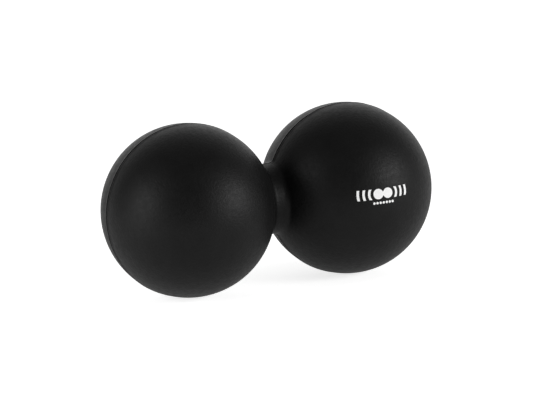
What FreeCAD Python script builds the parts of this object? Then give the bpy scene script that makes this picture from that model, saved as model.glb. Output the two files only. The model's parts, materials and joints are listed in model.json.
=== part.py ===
"""Double massage ball: two rubber cores inside a silicone cover of two halves bonded at a seam.

The long axis is X, the front is -Y and +Z is up. The origin is the centre of the neck. The two
cover halves meet at the plane y = 0, which holds the long axis.
"""

import FreeCAD, Part
import math
import os
import Sketcher

Vector = FreeCAD.Vector

# Driving dimensions in millimetres.
SIZES = {
    "ball_diameter": 62.0,
    "centre_distance": 62.0,
    "neck_diameter": 25.4,
    "neck_fillet": 2.1,
    "cover_wall": 6.0,
    "bond_thickness": 0.5,
    "bond_recess": 0.8,
    "seam_edge_break": 0.2,
    "tongue_inset": 3.0,
    "tongue_width": 1.2,
    "tongue_height": 1.5,
    "tongue_clearance": 0.1,
    "core_clearance": 0.1,
    "trim_band_width": 1.6,
    "trim_band_depth": 0.15,
    "gate_diameter": 4.0,
    "gate_depth": 0.6,
    "ink_thickness": 0.06,
    "mark_height": 3.7,
    "mark_rise": 2.5,
    "mark_neck": 1.5,
    "mark_stroke": 0.85,
    "mark_gap": 1.15,
    "dot_diameter": 0.9,
    "dot_pitch": 1.2,
    "dot_rise": -0.7,
}

# Half widths and radii that several pieces share, worked out from the sheet.
BALL_RADIUS = "sizes.ball_diameter / 2"
NECK_RADIUS = "sizes.neck_diameter / 2"
CENTRE_X = "sizes.centre_distance / 2"
CORE_SPACE = "sizes.ball_diameter / 2 - sizes.cover_wall"
CORE_RADIUS = f"{CORE_SPACE} - sizes.core_clearance"
HALF_BOND = "sizes.bond_thickness / 2"
TONGUE_RADIUS = "sizes.ball_diameter / 2 - sizes.tongue_inset"

FRONT = -1
REAR = 1
LEFT = -1
RIGHT = 1
ARCS_EACH_SIDE = 3
DOT_COUNT = 7

# Lengths under this count as nothing when edges are picked.
NIL = 1e-6

# The numbers that Sketcher gives to a curve's points and to a sketch's own axes.
START = 1
END = 2
CENTRE = 3
X_AXIS = -1
ORIGIN = (X_AXIS, START)

doc = FreeCAD.newDocument("double_massage_ball")
sheet = doc.addObject("Spreadsheet::Sheet", "sizes")
for row, (alias, value) in enumerate(SIZES.items(), start=1):
    sheet.set(f"A{row}", alias)
    sheet.set(f"B{row}", str(value))
    sheet.setAlias(f"B{row}", alias)
doc.recompute()


def size(expression):
    """What an expression in the sheet's names comes to, for a sketch's first guess."""
    return sheet.evalExpression(expression.replace("sizes.", ""))


# Sketch helpers. A sketch's x and y are the part's X and Z.


def arc(centre, radius, start_angle, end_angle):
    circle = Part.Circle(Vector(*centre, 0), Vector(0, 0, 1), radius)
    return Part.ArcOfCircle(circle, start_angle, end_angle)


def line(start, end):
    return Part.LineSegment(Vector(*start, 0), Vector(*end, 0))


def constrain(sketch, kind, *arguments):
    sketch.addConstraint(Sketcher.Constraint(kind, *arguments))


def drive(sketch, kind, *arguments, by):
    """Add a dimension that follows an expression in the sheet's names."""
    index = sketch.addConstraint(Sketcher.Constraint(kind, *arguments, size(by)))
    sketch.setExpression(f"Constraints[{index}]", by)


def draw_circle(sketch, radius, x="0", y="0"):
    """A circle, with its radius and its centre given as expressions."""
    circle = Part.Circle(Vector(size(x), size(y), 0), Vector(0, 0, 1), size(radius))
    index = sketch.addGeometry(circle)
    drive(sketch, "DistanceX", *ORIGIN, index, CENTRE, by=x)
    drive(sketch, "DistanceY", *ORIGIN, index, CENTRE, by=y)
    drive(sketch, "Radius", index, by=radius)


def draw_ring(sketch, clearance="0"):
    """A ring round the sketch's origin, as wide as the tongue and a clearance on each side."""
    half_width = f"(sizes.tongue_width / 2 + {clearance})"
    draw_circle(sketch, f"{TONGUE_RADIUS} - {half_width}")
    draw_circle(sketch, f"{TONGUE_RADIUS} + {half_width}")


def draw_rectangle(sketch, low_x, high_x, low_y, high_y):
    """A rectangle whose four sides are given as expressions."""
    corners = [
        (size(low_x), size(low_y)),
        (size(high_x), size(low_y)),
        (size(high_x), size(high_y)),
        (size(low_x), size(high_y)),
    ]
    bottom, right, top, left = [
        sketch.addGeometry(line(corners[index], corners[(index + 1) % 4])) for index in range(4)
    ]
    constrain(sketch, "Coincident", bottom, END, right, START)
    constrain(sketch, "Coincident", right, END, top, START)
    constrain(sketch, "Coincident", top, END, left, START)
    constrain(sketch, "Coincident", left, END, bottom, START)
    constrain(sketch, "Horizontal", bottom)
    constrain(sketch, "Horizontal", top)
    constrain(sketch, "Vertical", right)
    constrain(sketch, "Vertical", left)
    drive(sketch, "DistanceX", *ORIGIN, bottom, START, by=low_x)
    drive(sketch, "DistanceX", *ORIGIN, bottom, END, by=high_x)
    drive(sketch, "DistanceY", *ORIGIN, bottom, START, by=low_y)
    drive(sketch, "DistanceY", *ORIGIN, top, START, by=high_y)


def draw_half_disc(sketch, radius):
    """The upper half of a disc round the sketch's origin, closed along its x axis."""
    reach = size(radius)
    rim = sketch.addGeometry(arc((0, 0), reach, 0, math.pi))
    base = sketch.addGeometry(line((-reach, 0), (reach, 0)))
    constrain(sketch, "Coincident", rim, CENTRE, *ORIGIN)
    constrain(sketch, "Coincident", base, START, rim, END)
    constrain(sketch, "Coincident", base, END, rim, START)
    constrain(sketch, "PointOnObject", base, START, X_AXIS)
    constrain(sketch, "PointOnObject", base, END, X_AXIS)
    drive(sketch, "Radius", rim, by=radius)


# Feature helpers.


def new_body(name):
    body = doc.addObject("PartDesign::Body", name)
    body.Label = name
    return body


def origin_feature(body, role):
    return next(feature for feature in body.Origin.OriginFeatures if feature.Role == role)


def new_sketch(body, name, plane="XZ_Plane", sideways="0", outwards="0"):
    """A sketch on one of the body's origin planes, moved in and out of it by expressions.

    On XZ, the seam plane, the sketch's x and y are X and Z and outwards is to the front. On YZ they
    are Y and Z and outwards is to the right.
    """
    sketch = body.newObject("Sketcher::SketchObject", name)
    sketch.AttachmentSupport = [(origin_feature(body, plane), "")]
    sketch.MapMode = "FlatFace"
    sketch.setExpression("AttachmentOffset.Base.x", sideways)
    sketch.setExpression("AttachmentOffset.Base.z", outwards)
    return sketch


def turn(body, kind, name, sketch):
    """A Revolution or Groove of a sketch, all the way round its own x axis."""
    feature = body.newObject(f"PartDesign::{kind}", name)
    feature.Profile = sketch
    feature.ReferenceAxis = (sketch, ["H_Axis"])
    feature.Angle = 360
    return feature


def push(body, kind, name, sketch, length, reverse=False, both_ways=False):
    """A Pad or Pocket of a sketch, with its length given as an expression."""
    feature = body.newObject(f"PartDesign::{kind}", name)
    feature.Profile = sketch
    feature.setExpression("Length", length)
    feature.Reversed = reverse
    feature.Midplane = both_ways
    return feature


def repeat_on_left(body, name, features):
    """Mirror the right ball's features to the left ball."""
    doc.recompute()
    mirrored = body.newObject("PartDesign::Mirrored", name)
    mirrored.Originals = features
    mirrored.MirrorPlane = (origin_feature(body, "YZ_Plane"), [""])
    body.Tip = mirrored


def ease_edges(body, kind, name, amount, is_chosen):
    """A Fillet or Chamfer of the edges of the body so far for which is_chosen is true."""
    doc.recompute()
    sharp = body.Tip
    chosen = [
        f"Edge{number}"
        for number, edge in enumerate(sharp.Shape.Edges, start=1)
        if is_chosen(edge)
    ]
    feature = body.newObject(f"PartDesign::{kind}", name)
    feature.Base = (sharp, chosen)
    feature.setExpression("Radius" if kind == "Fillet" else "Size", amount)


def check_cut(feature):
    """Stop if a Pocket or Groove has taken nothing away."""
    doc.recompute()
    if feature.Shape.Volume >= feature.BaseFeature.Shape.Volume:
        raise RuntimeError(f"{feature.Label} cuts nothing")
    return feature


# The pieces.


def make_cover(name, side):
    """Half of the silicone cover, with pockets for the cores' halves.

    The front half carries a tongue round each ball, and the rear half the grooves that take them.
    """
    is_front = side == FRONT
    body = new_body(name)
    neck = new_sketch(body, "neck_section")
    draw_rectangle(neck, f"-{CENTRE_X}", CENTRE_X, "0", NECK_RADIUS)
    turn(body, "Revolution", "neck", neck)
    ball = new_sketch(body, "ball_section", "YZ_Plane", outwards=CENTRE_X)
    draw_half_disc(ball, BALL_RADIUS)
    repeat_on_left(body, "balls", [turn(body, "Revolution", "ball", ball)])

    def is_round_neck(edge):
        box = edge.BoundBox
        return box.XLength < NIL and abs(box.XMin) < size(CENTRE_X) / 2

    ease_edges(body, "Fillet", "neck_fillets", "sizes.neck_fillet", is_round_neck)

    beyond_tip = f"({CENTRE_X} + {BALL_RADIUS} + 1)"
    beyond_side = f"({BALL_RADIUS} + 1)"
    other = new_sketch(body, "other_half", outwards=f"{-side} * {HALF_BOND}")
    draw_rectangle(other, f"-{beyond_tip}", beyond_tip, f"-{beyond_side}", beyond_side)
    check_cut(push(body, "Pocket", "mating_face", other, beyond_side, reverse=not is_front))

    def is_on_mating_face(edge):
        box = edge.BoundBox
        return box.YLength < NIL and abs(box.YMin - side * size(HALF_BOND)) < NIL

    ease_edges(body, "Chamfer", "seam_edge", "sizes.seam_edge_break", is_on_mating_face)

    space = new_sketch(body, "core_section", "YZ_Plane", outwards=CENTRE_X)
    draw_half_disc(space, CORE_SPACE)
    core_pocket = check_cut(turn(body, "Groove", "core_pocket", space))
    ring = new_sketch(body, "ring", sideways=CENTRE_X)
    tip = f"(sizes.tongue_height - {HALF_BOND})"
    if is_front:
        draw_ring(ring)
        joint = push(body, "Pad", "tongue", ring, f"2 * {tip}", both_ways=True)
    else:
        draw_ring(ring, "sizes.tongue_clearance")
        joint = check_cut(push(body, "Pocket", "slot", ring, f"{tip} + sizes.tongue_clearance"))
    repeat_on_left(body, "both_balls", [core_pocket, joint])
    return body


def make_core(name, side):
    """A solid rubber ball, with the trimmed band and the gate's hollow that its mould leaves."""
    body = new_body(name)
    half_disc = new_sketch(body, "half_disc")
    draw_half_disc(half_disc, CORE_RADIUS)
    turn(body, "Revolution", "ball", half_disc)

    marks = new_sketch(body, "moulding_marks")
    beyond = f"{CORE_RADIUS} + 1"
    half_band = "sizes.trim_band_width / 2"
    band_floor = f"{CORE_RADIUS} - sizes.trim_band_depth"
    gate_floor = f"{CORE_RADIUS} - sizes.gate_depth"
    draw_rectangle(marks, f"-{half_band}", half_band, band_floor, beyond)
    draw_rectangle(marks, gate_floor, beyond, "0", "sizes.gate_diameter / 2")
    check_cut(turn(body, "Groove", "band_and_gate", marks))

    gate_outward = FreeCAD.Rotation(Vector(0, 0, 1), 0 if side == RIGHT else 180)
    body.Placement = FreeCAD.Placement(Vector(0, 0, 0), gate_outward)
    body.setExpression("Placement.Base.x", f"{side} * {CENTRE_X}")
    return body


def make_seam_bond(name):
    """The adhesive film between the mating faces, clear of the tongues and of the cores.

    It stops short of the skin, so it is the floor of the seam line. The tongues part it into one
    outer piece and a ring inside each tongue.
    """
    body = new_body(name)
    neck = new_sketch(body, "neck_film_outline")
    half_neck = f"({NECK_RADIUS} - sizes.bond_recess)"
    draw_rectangle(neck, f"-{CENTRE_X}", CENTRE_X, f"-{half_neck}", half_neck)
    push(body, "Pad", "neck_film", neck, "sizes.bond_thickness", both_ways=True)
    disc = new_sketch(body, "ball_film_outline", sideways=CENTRE_X)
    draw_circle(disc, f"{BALL_RADIUS} - sizes.bond_recess")
    film = push(body, "Pad", "ball_film", disc, "sizes.bond_thickness", both_ways=True)
    repeat_on_left(body, "ball_films", [film])

    def is_neck_corner(edge):
        box = edge.BoundBox
        return box.XLength < NIL and box.ZLength < NIL and abs(box.XMin) < size(CENTRE_X) / 2

    corner_radius = "sizes.neck_fillet + sizes.bond_recess"
    ease_edges(body, "Fillet", "corners", corner_radius, is_neck_corner)

    through = "2 * sizes.bond_thickness"
    ring = new_sketch(body, "tongue_gap", sideways=CENTRE_X)
    draw_ring(ring, "sizes.tongue_clearance")
    gap = check_cut(push(body, "Pocket", "tongue_slot", ring, through, both_ways=True))
    hole = new_sketch(body, "core_gap", sideways=CENTRE_X)
    draw_circle(hole, f"{CORE_SPACE} + sizes.core_clearance")
    opening = check_cut(push(body, "Pocket", "core_hole", hole, through, both_ways=True))
    repeat_on_left(body, "both_balls", [gap, opening])
    return body


def draw_level_band(sketch, side, inner_radius, outer_radius):
    """One arc of the mark: a band round a disc's centre, cut off level at the mark's height."""
    half_height = "sizes.mark_height / 2"
    middle = f"{side} * sizes.mark_height / 2"
    facing = 0 if side == RIGHT else math.pi
    curves = []
    for radius in (inner_radius, outer_radius):
        spread = math.asin(size(half_height) / size(radius))
        curve = arc((size(middle), 0), size(radius), facing - spread, facing + spread)
        curves.append(sketch.addGeometry(curve))
        drive(sketch, "DistanceX", *ORIGIN, curves[-1], CENTRE, by=middle)
        constrain(sketch, "PointOnObject", curves[-1], CENTRE, X_AXIS)
        drive(sketch, "Radius", curves[-1], by=radius)
    for point in (START, END):
        is_top = (point == END) == (side == RIGHT)
        height = half_height if is_top else f"-{half_height}"
        ends = [sketch.getPoint(curve, point) for curve in curves]
        cap = sketch.addGeometry(Part.LineSegment(*ends))
        constrain(sketch, "Coincident", cap, START, curves[0], point)
        constrain(sketch, "Coincident", cap, END, curves[1], point)
        constrain(sketch, "Horizontal", cap)
        drive(sketch, "DistanceY", *ORIGIN, cap, START, by=height)


def draw_small_double_ball(sketch):
    """The mark's middle: two touching discs joined by a short neck."""
    radius = "sizes.mark_height / 2"
    half_neck = "sizes.mark_neck / 2"
    lean = math.asin(size(half_neck) / size(radius))
    left_disc = sketch.addGeometry(arc((-size(radius), 0), size(radius), lean, 2 * math.pi - lean))
    right_disc = sketch.addGeometry(
        arc((size(radius), 0), size(radius), math.pi + lean, 3 * math.pi - lean)
    )
    neck_end = size(radius) * (1 - math.cos(lean))
    for height, left_point, right_point in ((half_neck, START, END), (f"-{half_neck}", END, START)):
        side = sketch.addGeometry(line((-neck_end, size(height)), (neck_end, size(height))))
        constrain(sketch, "Coincident", side, START, left_disc, left_point)
        constrain(sketch, "Coincident", side, END, right_disc, right_point)
        constrain(sketch, "Horizontal", side)
        drive(sketch, "DistanceY", *ORIGIN, side, START, by=height)
    for side, disc in ((LEFT, left_disc), (RIGHT, right_disc)):
        constrain(sketch, "PointOnObject", disc, CENTRE, X_AXIS)
        drive(sketch, "DistanceX", *ORIGIN, disc, CENTRE, by=f"{side} * {radius}")
        drive(sketch, "Radius", disc, by=radius)


def make_printed_mark(name):
    """The white print on the right ball's front: arcs each side of a small double ball, and dots.

    The mark's outline is thrown forward onto a skin of ink that lies on the ball.
    """
    mark = doc.addObject("Sketcher::SketchObject", "mark_outline")
    mark.Placement = FreeCAD.Placement(Vector(0, 0, 0), FreeCAD.Rotation(Vector(1, 0, 0), 90))
    mark.setExpression("Placement.Base.x", CENTRE_X)
    mark.setExpression("Placement.Base.z", "sizes.mark_rise")
    draw_small_double_ball(mark)
    for number in range(ARCS_EACH_SIDE):
        inner = (
            f"sizes.mark_height / 2 + sizes.mark_gap + {number} * (sizes.mark_stroke + sizes.mark_gap)"
        )
        for side in (LEFT, RIGHT):
            draw_level_band(mark, side, inner, f"{inner} + sizes.mark_stroke")
    for number in range(DOT_COUNT):
        steps = number - (DOT_COUNT - 1) / 2
        draw_circle(
            mark, "sizes.dot_diameter / 2", f"{steps} * sizes.dot_pitch",
            "sizes.dot_rise - sizes.mark_rise",
        )

    thrown = doc.addObject("Part::Extrusion", "thrown_outline")
    thrown.Base = mark
    thrown.DirMode = "Normal"
    thrown.Solid = True
    thrown.setExpression("LengthFwd", f"{BALL_RADIUS} + 1")

    ball = doc.addObject("Part::Sphere", "ball_skin")
    ball.setExpression("Radius", BALL_RADIUS)
    inked_ball = doc.addObject("Part::Sphere", "inked_ball")
    inked_ball.setExpression("Radius", f"{BALL_RADIUS} + sizes.ink_thickness")
    for sphere in (ball, inked_ball):
        sphere.setExpression("Placement.Base.x", CENTRE_X)
    ink = doc.addObject("Part::Cut", "skin_of_ink")
    ink.Base = inked_ball
    ink.Tool = ball

    printed = doc.addObject("Part::Common", name)
    printed.Label = name
    printed.Base = thrown
    printed.Tool = ink
    return printed


PIECES = [
    make_cover("front_cover", FRONT),
    make_cover("rear_cover", REAR),
    make_core("left_core", LEFT),
    make_core("right_core", RIGHT),
    make_seam_bond("seam_bond"),
    make_printed_mark("printed_mark"),
]
doc.recompute()

for item in doc.Objects:
    if "Invalid" in item.State or "Error" in item.State:
        raise RuntimeError(f"{item.Label} is {item.State}")
for piece in PIECES:
    if piece.Shape.isNull() or not piece.Shape.isValid():
        raise RuntimeError(f"{piece.Label} has no valid shape")

os.makedirs("parts", exist_ok=True)
for piece in PIECES:
    piece.Shape.exportStep(f"parts/{piece.Label}.step")
    print(f"{piece.Label}: {len(piece.Shape.Solids)} solids, {piece.Shape.Volume:.1f} mm3")
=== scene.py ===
"""Looks for the double massage ball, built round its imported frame. Lengths are in metres.

The long axis is X, the front is -Y and +Z is up. The two cover halves meet at the plane y = 0.
"""

import json
import math

import bmesh
import bpy
from mathutils import Matrix, Vector, noise


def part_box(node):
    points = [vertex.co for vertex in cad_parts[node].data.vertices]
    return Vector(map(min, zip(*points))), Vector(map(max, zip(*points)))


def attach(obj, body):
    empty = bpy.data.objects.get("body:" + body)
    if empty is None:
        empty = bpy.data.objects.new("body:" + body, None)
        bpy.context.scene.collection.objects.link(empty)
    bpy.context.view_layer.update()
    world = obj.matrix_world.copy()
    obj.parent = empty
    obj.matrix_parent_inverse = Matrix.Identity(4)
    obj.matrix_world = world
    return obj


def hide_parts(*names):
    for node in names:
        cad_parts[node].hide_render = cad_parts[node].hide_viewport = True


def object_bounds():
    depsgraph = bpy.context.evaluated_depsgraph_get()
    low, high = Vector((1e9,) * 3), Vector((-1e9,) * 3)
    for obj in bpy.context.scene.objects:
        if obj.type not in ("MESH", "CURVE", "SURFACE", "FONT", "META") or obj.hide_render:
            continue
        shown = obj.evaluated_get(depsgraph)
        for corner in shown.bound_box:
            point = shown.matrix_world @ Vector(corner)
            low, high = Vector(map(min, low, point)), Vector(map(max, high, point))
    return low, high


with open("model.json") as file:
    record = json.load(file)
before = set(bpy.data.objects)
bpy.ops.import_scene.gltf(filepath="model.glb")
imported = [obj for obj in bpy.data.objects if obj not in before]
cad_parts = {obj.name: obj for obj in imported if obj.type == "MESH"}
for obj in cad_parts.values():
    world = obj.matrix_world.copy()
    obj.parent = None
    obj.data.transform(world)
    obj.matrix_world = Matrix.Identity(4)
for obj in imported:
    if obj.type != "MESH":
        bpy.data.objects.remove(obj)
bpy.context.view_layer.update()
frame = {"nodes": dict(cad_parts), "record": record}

MM = 0.001

# Each ball's centre is this far from the middle, and it rests on its lowest point.
RESTS = {mount["name"]: mount["pos_m"] for mount in frame["record"]["mounts"]}
CENTRE_X = RESTS["right_ball_rest"][0]
BALL_RADIUS = -RESTS["right_ball_rest"][2]

NECK_RADIUS = 12.7 * MM
NECK_FILLET = 2.1 * MM
FILLET_RISE = NECK_RADIUS + NECK_FILLET
NECK_LAND = CENTRE_X - math.sqrt((BALL_RADIUS + NECK_FILLET) ** 2 - FILLET_RISE**2)
NECK_LEAN = math.asin(FILLET_RISE / (BALL_RADIUS + NECK_FILLET))
NECK_MOUTH_X = NECK_LAND + NECK_FILLET * math.cos(NECK_LEAN)

# Inside the covers: the cores' pockets, and the tongues and grooves that join the halves. A
# tongue stands past the seam plane, so the depth of its tip is negative.
POCKET_RADIUS = 25 * MM
TONGUE_CLEARANCE = 0.1 * MM
TONGUE_RADII = (27.4 * MM, 28.6 * MM)
TONGUE_TIP = -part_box("front_cover")[1].y
GROOVE_RADII = (TONGUE_RADII[0] - TONGUE_CLEARANCE, TONGUE_RADII[1] + TONGUE_CLEARANCE)
GROOVE_FLOOR = TONGUE_CLEARANCE - TONGUE_TIP

# The lip along the seam. Depths are measured from the seam plane.
MATING_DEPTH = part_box("seam_bond")[1].y
LIP_START = 1.5 * MM
LIP_BULGE = 0.12 * MM
LIP_WOBBLE = 0.35
LIP_WOBBLE_LENGTH = 4 * MM
LIP_EDGE_RADIUS = 0.2 * MM
LIP_WALL = 0.6 * MM

# Mesh divisions: across a quarter turn of a ball, and in rows towards and along the neck.
ACROSS = 44
TO_NECK = 14
ROUND_FILLET = 7
ALONG_LAND = 3
ROUND_LIP_EDGE = 4
DOWN_LIP = 6

QUARTER = math.pi / 2
SHARP_ANGLE = math.radians(40)
WELD = 1e-6

# Most of a noise's values lie between these two.
NOISE_LOW = 0.3
NOISE_HIGH = 0.7

WHITE = (1, 1, 1, 1)

LEFT, RIGHT = -1, 1
FRONT, REAR = -1, 1
AXIS_X = Vector((1, 0, 0))
AXIS_Y = Vector((0, 1, 0))
AXIS_Z = Vector((0, 0, 1))


# Mesh helpers.


def steps(low, high, count):
    """Evenly spaced numbers from low to high, with this many gaps between them."""
    return [low + (high - low) * number / count for number in range(count + 1)]


def add_grid(mesh, rows):
    """Quads between rows of points. Their shared edges are welded afterwards."""
    made = [[mesh.verts.new(point) for point in row] for row in rows]
    for near, far in zip(made, made[1:]):
        for corners in zip(near, near[1:], far[1:], far):
            mesh.faces.new(corners)


def weld(mesh):
    bmesh.ops.remove_doubles(mesh, verts=mesh.verts, dist=WELD)


def open_edges(mesh):
    return [edge for edge in mesh.edges if edge.is_boundary]


def walk_open_edge(mesh):
    """The points of a mesh's one open edge, in order and back to the first."""
    start = open_edges(mesh)[0].verts[0]
    walked = [start]
    while len(walked) == 1 or walked[-1] is not start:
        here = walked[-1]
        ways_on = [edge.other_vert(here) for edge in here.link_edges if edge.is_boundary]
        walked.append(next(vertex for vertex in ways_on if vertex not in walked[-2:-1]))
    return [vertex.co.copy() for vertex in walked]


def finish_mesh(mesh, name):
    """Turn a bmesh into an object, smooth except at its sharp edges."""
    bmesh.ops.recalc_face_normals(mesh, faces=mesh.faces)
    data = bpy.data.meshes.new(name)
    mesh.to_mesh(data)
    mesh.free()
    data.shade_smooth()
    data.set_sharp_from_angle(angle=SHARP_ANGLE)
    piece = bpy.data.objects.new(name, data)
    bpy.context.scene.collection.objects.link(piece)
    return piece


# The covers' surfaces.


def rim_slope(radius, rim_depth, sideways):
    """How far round towards the pole a side patch starts, so that its rim is level."""
    return math.tan(math.asin(rim_depth / radius)) * math.hypot(1, sideways)


def patch_slopes(radius, rim_depth, sideways):
    """A side patch's slopes towards the pole, from its rim to the corner of the pole's patch."""
    low = rim_slope(radius, rim_depth, sideways)
    return [low + (1 - low) * math.tan(angle) for angle in steps(0, QUARTER / 2, ACROSS // 2)]


def add_half_ball(mesh, centre, radius, rim_depth, side, facings):
    """Half a ball: a square patch round its pole, and a side patch each way that it is to face."""
    pole = side * AXIS_Y
    slopes = [math.tan(angle) for angle in steps(-QUARTER / 2, QUARTER / 2, ACROSS)]

    def place(forward, sideways, down):
        return centre + radius * (forward + sideways + down).normalized()

    add_grid(mesh, [[place(pole, p * AXIS_X, q * AXIS_Z) for p in slopes] for q in slopes])
    for facing in facings:
        across = facing.cross(pole)
        add_grid(mesh, [
            [place(facing, p * across, q * pole) for q in patch_slopes(radius, rim_depth, p)]
            for p in slopes
        ])


def add_neck_patch(mesh, centre, side, end):
    """The side patch that faces the neck. Its rows turn from a square into the neck's mouth."""
    slopes = [math.tan(angle) for angle in steps(-QUARTER / 2, QUARTER / 2, ACROSS)]
    edge = patch_slopes(BALL_RADIUS, LIP_START, 1)
    square = [(-1, q) for q in edge] + [(p, 1) for p in slopes[1:-1]] + [(1, q) for q in edge[::-1]]
    mouth_slope = math.tan(NECK_LEAN)
    first = math.asin(LIP_START / (BALL_RADIUS * math.sin(NECK_LEAN)))
    mouth = [
        (-mouth_slope * math.cos(angle), mouth_slope * math.sin(angle))
        for angle in steps(first, math.pi - first, 2 * ACROSS)
    ]
    rows = []
    for share in steps(0, 1, TO_NECK):
        row = []
        for outer, inner in zip(square, mouth):
            p, q = Vector(outer).lerp(Vector(inner), share)
            row.append(centre + BALL_RADIUS * Vector((-end, q * side, p)).normalized())
        rows.append(row)
    add_grid(mesh, rows)


def neck_profile():
    """Distances along and from the long axis, from a ball's mouth to the middle."""
    fillet = [
        (NECK_LAND + NECK_FILLET * math.cos(angle), FILLET_RISE - NECK_FILLET * math.sin(angle))
        for angle in steps(NECK_LEAN, QUARTER, ROUND_FILLET)
    ]
    land = [(along, NECK_RADIUS) for along in steps(NECK_LAND, 0, ALONG_LAND)]
    return fillet + land[1:]


def add_half_neck(mesh, side, end):
    """Half of the neck's skin, from one ball to the middle."""
    rows = []
    for along, radius in neck_profile():
        first = math.asin(LIP_START / radius)
        rows.append([
            Vector((end * along, side * radius * math.sin(angle), -radius * math.cos(angle)))
            for angle in steps(first, math.pi - first, 2 * ACROSS)
        ])
    add_grid(mesh, rows)


def on_section(point, depth, side, offset):
    """Where a point of the skin comes to on the skin's section at a depth, moved outwards."""
    end = math.copysign(1, point.x)
    upward = math.copysign(1, point.z)
    if abs(point.x) > NECK_MOUTH_X - WELD:
        arm = Vector((point.x - end * CENTRE_X, 0, point.z)).normalized()
        reach = math.sqrt(BALL_RADIUS**2 - depth**2) + offset
        return Vector((end * CENTRE_X, side * depth, 0)) + reach * arm
    radius = math.hypot(point.y, point.z)
    past_land = max(abs(point.x) - NECK_LAND, 0)
    out_along = -end * past_land / NECK_FILLET
    out_up = (FILLET_RISE - radius) / NECK_FILLET
    height = math.sqrt(radius**2 - depth**2) + offset * out_up
    return Vector((point.x + offset * out_along, side * depth, upward * height))


def lip_rows():
    """The lip's section as (depth, share of the bulge, drop below it), from the skin inwards."""
    edge_depth = MATING_DEPTH + LIP_EDGE_RADIUS
    rows = []
    for share in steps(0, 1, DOWN_LIP)[1:]:
        swell = (1 - math.cos(math.pi * share)) / 2
        rows.append((LIP_START + (edge_depth - LIP_START) * share, swell, 0))
    for angle in steps(0, QUARTER, ROUND_LIP_EDGE)[1:]:
        rows.append((
            edge_depth - LIP_EDGE_RADIUS * math.sin(angle),
            1,
            LIP_EDGE_RADIUS * (1 - math.cos(angle)),
        ))
    rows.append((MATING_DEPTH, 0, LIP_WALL))
    return rows


def add_lip(mesh, side):
    """Roll the skin's open edge over a slight bulge and in to the mating face."""
    rim = walk_open_edge(mesh)
    bulges = [
        LIP_BULGE * (1 + LIP_WOBBLE * noise.noise(point / LIP_WOBBLE_LENGTH)) for point in rim
    ]
    rows = [rim]
    for depth, swell, drop in lip_rows():
        rows.append([
            on_section(point, depth, side, swell * bulge - drop)
            for point, bulge in zip(rim, bulges)
        ])
    add_grid(mesh, rows)


def add_rings(mesh, centre, side, sections):
    """Rings round a ball's centre, one for each (radius, depth), joined in turn."""
    angles = steps(-QUARTER / 2, 2 * math.pi - QUARTER / 2, 4 * ACROSS)
    add_grid(mesh, [
        [
            centre + Vector((radius * math.cos(angle), side * depth, radius * math.sin(angle)))
            for angle in angles
        ]
        for radius, depth in sections
    ])


def build_cover(name, side):
    """Half of the cover: skin, lip, mating face with tongues or grooves, and the cores' pockets."""
    mesh = bmesh.new()
    for end in (LEFT, RIGHT):
        centre = Vector((end * CENTRE_X, 0, 0))
        facings = (end * AXIS_X, AXIS_Z, -AXIS_Z)
        add_half_ball(mesh, centre, BALL_RADIUS, LIP_START, side, facings)
        add_neck_patch(mesh, centre, side, end)
        add_half_neck(mesh, side, end)
    weld(mesh)
    add_lip(mesh, side)

    radii, bottom = (TONGUE_RADII, TONGUE_TIP) if side == FRONT else (GROOVE_RADII, GROOVE_FLOOR)
    for end in (LEFT, RIGHT):
        centre = Vector((end * CENTRE_X, 0, 0))
        facings = (AXIS_X, -AXIS_X, AXIS_Z, -AXIS_Z)
        add_half_ball(mesh, centre, POCKET_RADIUS, MATING_DEPTH, side, facings)
        pocket_rim = math.sqrt(POCKET_RADIUS**2 - MATING_DEPTH**2)
        add_rings(mesh, centre, side, [
            (pocket_rim, MATING_DEPTH),
            (radii[0], MATING_DEPTH),
            (radii[0], bottom),
            (radii[1], bottom),
            (radii[1], MATING_DEPTH),
        ])
    weld(mesh)
    bmesh.ops.triangle_fill(mesh, edges=open_edges(mesh), use_beauty=True)
    return finish_mesh(mesh, name)


# Materials.


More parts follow.
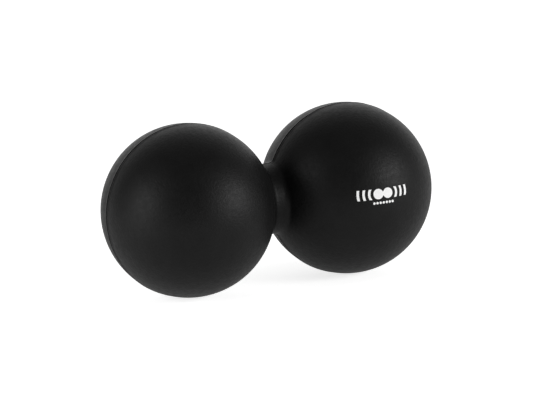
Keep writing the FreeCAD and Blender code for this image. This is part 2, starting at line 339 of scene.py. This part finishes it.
class Look:
    """A material with its shader and the object's own coordinates, in metres."""

    def __init__(self, name):
        self.material = bpy.data.materials.new(name)
        self.material.use_nodes = True
        self.nodes = self.material.node_tree.nodes
        self.links = self.material.node_tree.links
        self.shader = self.nodes["Principled BSDF"]
        self.place = self.nodes.new("ShaderNodeTexCoord").outputs["Object"]

    def grain(self, size, detail=2, roughness=0.5):
        """Noise with bumps about this size."""
        node = self.nodes.new("ShaderNodeTexNoise")
        node.inputs["Scale"].default_value = 1 / size
        node.inputs["Detail"].default_value = detail
        node.inputs["Roughness"].default_value = roughness
        self.links.new(self.place, node.inputs["Vector"])
        return node.outputs["Fac"]

    def spread(self, value, low, high):
        """The middle of a noise's range, spread from low to high."""
        node = self.nodes.new("ShaderNodeMapRange")
        node.inputs["From Min"].default_value = NOISE_LOW
        node.inputs["From Max"].default_value = NOISE_HIGH
        node.inputs["To Min"].default_value = low
        node.inputs["To Max"].default_value = high
        self.links.new(value, node.inputs["Value"])
        return node.outputs["Result"]

    def colour(self, value, dark, pale):
        """Mix two greys or colours by a noise and give them to the shader."""
        node = self.nodes.new("ShaderNodeMix")
        node.data_type = "RGBA"
        node.inputs["A"].default_value = (*dark, 1)
        node.inputs["B"].default_value = (*pale, 1)
        self.links.new(self.spread(value, 0, 1), node.inputs["Factor"])
        self.links.new(node.outputs["Result"], self.shader.inputs["Base Color"])

    def roughness(self, value, low, high):
        """Give the shader a roughness that varies with a noise."""
        self.links.new(self.spread(value, low, high), self.shader.inputs["Roughness"])

    def bump(self, *layers):
        """Add up layers of (noise, height), the broadest first."""
        normal = None
        for value, height in layers:
            node = self.nodes.new("ShaderNodeBump")
            node.inputs["Distance"].default_value = height
            self.links.new(value, node.inputs["Height"])
            if normal:
                self.links.new(normal, node.inputs["Normal"])
            normal = node.outputs["Normal"]
        self.links.new(normal, self.shader.inputs["Normal"])

    def set(self, **values):
        """Set sockets that are the same all over. Their names have underscores for spaces."""
        for name, value in values.items():
            self.shader.inputs[name.replace("_", " ")].default_value = value


def make_silicone():
    look = Look("matte_black_silicone")
    look.set(IOR=1.41, Specular_IOR_Level=0.25)
    look.colour(look.grain(6 * MM, detail=4), (0.0028, 0.0028, 0.0028), (0.0045, 0.0045, 0.0045))
    look.roughness(look.grain(1.6 * MM, detail=5, roughness=0.6), 0.45, 0.56)
    look.bump(
        (look.grain(5 * MM, detail=2), 0.02 * MM),
        (look.grain(0.8 * MM, detail=3), 0.09 * MM),
        (look.grain(0.35 * MM, detail=3), 0.012 * MM),
    )
    return look.material


def make_core_rubber():
    look = Look("moulded_grey_rubber")
    look.set(IOR=1.52)
    look.colour(look.grain(0.9 * MM, detail=3), (0.08, 0.08, 0.085), (0.14, 0.14, 0.145))
    look.roughness(look.grain(2 * MM, detail=4), 0.6, 0.8)
    look.bump((look.grain(0.6 * MM, detail=4), 0.03 * MM))
    return look.material


def make_adhesive():
    look = Look("black_silicone_adhesive")
    look.set(IOR=1.41, Specular_IOR_Level=0.15)
    look.colour(look.grain(1.5 * MM), (0.004, 0.004, 0.0042), (0.007, 0.007, 0.0073))
    look.roughness(look.grain(1.2 * MM, detail=3), 0.65, 0.8)
    look.bump((look.grain(0.8 * MM, detail=3), 0.02 * MM))
    return look.material


def make_ink():
    look = Look("white_pad_print_ink")
    look.set(IOR=1.5)
    look.colour(look.grain(0.4 * MM, detail=3), (0.92, 0.92, 0.91), (0.98, 0.98, 0.98))
    look.roughness(look.grain(0.3 * MM, detail=2), 0.4, 0.55)
    look.bump((look.grain(0.2 * MM, detail=3), 0.006 * MM))
    return look.material


def make_floor_material():
    """A pale sheet lit from below. The camera sees it brighter than it lights the object."""
    look = Look("pale_floor")
    look.set(Specular_IOR_Level=0.0, Emission_Color=WHITE)
    look.colour(look.grain(200 * MM), (0.86, 0.86, 0.86), (0.88, 0.88, 0.88))
    look.roughness(look.grain(100 * MM), 0.8, 0.9)
    glow = look.nodes.new("ShaderNodeMapRange")
    glow.inputs["To Min"].default_value = FLOOR_GLOW
    glow.inputs["To Max"].default_value = FLOOR_SEEN_GLOW
    is_seen = look.nodes.new("ShaderNodeLightPath").outputs["Is Camera Ray"]
    look.links.new(is_seen, glow.inputs["Value"])
    look.links.new(glow.outputs["Result"], look.shader.inputs["Emission Strength"])
    return look.material


# Stage, light and camera.

FLOOR_RADIUS = 6.0
FLOOR_SIDES = 96
FLOOR_GLOW = 0.38
FLOOR_SEEN_GLOW = 0.78
OVERHEAD_LIGHT = 0.26
BACKDROP_LIGHT = 1.75
BACKDROP_SEEN_LIGHT = 1.0
LIGHT_FALL_OFF = 2

CAMERA_DISTANCE = 1.2845
CAMERA_AZIMUTH = math.radians(-23.77)
CAMERA_ELEVATION = math.radians(10.99)
CAMERA_ROLL = math.radians(-3.42)
CAMERA_AIM = Vector((-0.4, 0.15, -0.42)) * MM
CAMERA_LENS = 242.7
CAMERA_RANGE = (0.1, 20)


def towards(azimuth, elevation):
    """The unit vector out to an azimuth and elevation. Azimuth 0 is the front, 90 the right."""
    flat = Vector((math.sin(azimuth), -math.cos(azimuth), 0)) * math.cos(elevation)
    return flat + AXIS_Z * math.sin(elevation)


def aimed(place, target, roll=0):
    """Matrix of a camera or lamp at a place that looks at a target."""
    turn = (target - place).to_track_quat("-Z", "Y").to_matrix().to_4x4()
    return Matrix.Translation(place) @ turn @ Matrix.Rotation(roll, 4, "Z")


def add_softbox(name, azimuth, elevation, distance, width, height, power):
    """A rectangular lamp aimed at the object's middle. Its two angles are in degrees."""
    lamp = bpy.data.lights.new(name, "AREA")
    lamp.shape = "RECTANGLE"
    lamp.size = width
    lamp.size_y = height
    lamp.energy = power
    lamp_object = bpy.data.objects.new(name, lamp)
    bpy.context.scene.collection.objects.link(lamp_object)
    place = towards(math.radians(azimuth), math.radians(elevation)) * distance
    lamp_object.matrix_world = aimed(place, Vector())


def add_floor(height):
    mesh = bmesh.new()
    bmesh.ops.create_circle(mesh, cap_ends=True, segments=FLOOR_SIDES, radius=FLOOR_RADIUS)
    floor = finish_mesh(mesh, "floor")
    floor.location.z = height
    floor.data.materials.append(make_floor_material())


def set_world():
    """Light from overhead and from a backdrop behind the object. The camera sees it white."""
    world = bpy.data.worlds.new("studio")
    bpy.context.scene.world = world
    world.use_nodes = True
    nodes = world.node_tree.nodes
    links = world.node_tree.links
    outward = nodes.new("ShaderNodeTexCoord").outputs["Generated"]

    def calculate(kind, *inputs):
        node = nodes.new("ShaderNodeMath")
        node.operation = kind
        for socket, value in zip(node.inputs, inputs):
            if isinstance(value, (int, float)):
                socket.default_value = value
            else:
                links.new(value, socket)
        return node.outputs[0]

    def light_from(direction, strength):
        """Light that falls off to nothing at right angles to its direction."""
        facing = nodes.new("ShaderNodeVectorMath")
        facing.operation = "DOT_PRODUCT"
        facing.inputs[1].default_value = direction
        links.new(outward, facing.inputs[0])
        cosine = calculate("MAXIMUM", facing.outputs["Value"], 0)
        return calculate("MULTIPLY", calculate("POWER", cosine, LIGHT_FALL_OFF), strength)

    backdrop = light_from(-towards(CAMERA_AZIMUTH, CAMERA_ELEVATION), BACKDROP_LIGHT)
    cast = calculate("ADD", backdrop, light_from(AXIS_Z, OVERHEAD_LIGHT))
    is_seen = nodes.new("ShaderNodeLightPath").outputs["Is Camera Ray"]
    seen = calculate("MULTIPLY", is_seen, BACKDROP_SEEN_LIGHT)
    links.new(calculate("MAXIMUM", cast, seen), nodes["Background"].inputs["Strength"])
    nodes["Background"].inputs["Color"].default_value = WHITE


def add_camera():
    camera = bpy.data.cameras.new("camera")
    camera.lens = CAMERA_LENS
    camera.clip_start, camera.clip_end = CAMERA_RANGE
    camera_object = bpy.data.objects.new("camera", camera)
    bpy.context.scene.collection.objects.link(camera_object)
    place = CAMERA_AIM + towards(CAMERA_AZIMUTH, CAMERA_ELEVATION) * CAMERA_DISTANCE
    camera_object.matrix_world = aimed(place, CAMERA_AIM, CAMERA_ROLL)
    bpy.context.scene.camera = camera_object


# The object, and then what stands round it.


def paint(node, material):
    """Give a CAD node a material in place of its own."""
    data = frame["nodes"][node].data
    data.materials.clear()
    data.materials.append(material)


silicone = make_silicone()
for name, side in (("front_cover", FRONT), ("rear_cover", REAR)):
    cover = build_cover(f"{name}_moulding", side)
    cover.data.materials.append(silicone)
    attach(cover, "root")
    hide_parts(name)

core_rubber = make_core_rubber()
paint("left_core", core_rubber)
paint("right_core", core_rubber)
paint("seam_bond", make_adhesive())
paint("printed_mark", make_ink())

low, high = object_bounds()
add_floor(low.z)
set_world()
add_softbox(
    "left_softbox", azimuth=-83, elevation=14, distance=0.52, width=0.2, height=0.4, power=1.35
)
add_softbox(
    "right_softbox", azimuth=44, elevation=15.5, distance=2.4, width=1.1, height=0.8, power=36
)
add_camera()
bpy.context.scene.view_settings.view_transform = "Standard"
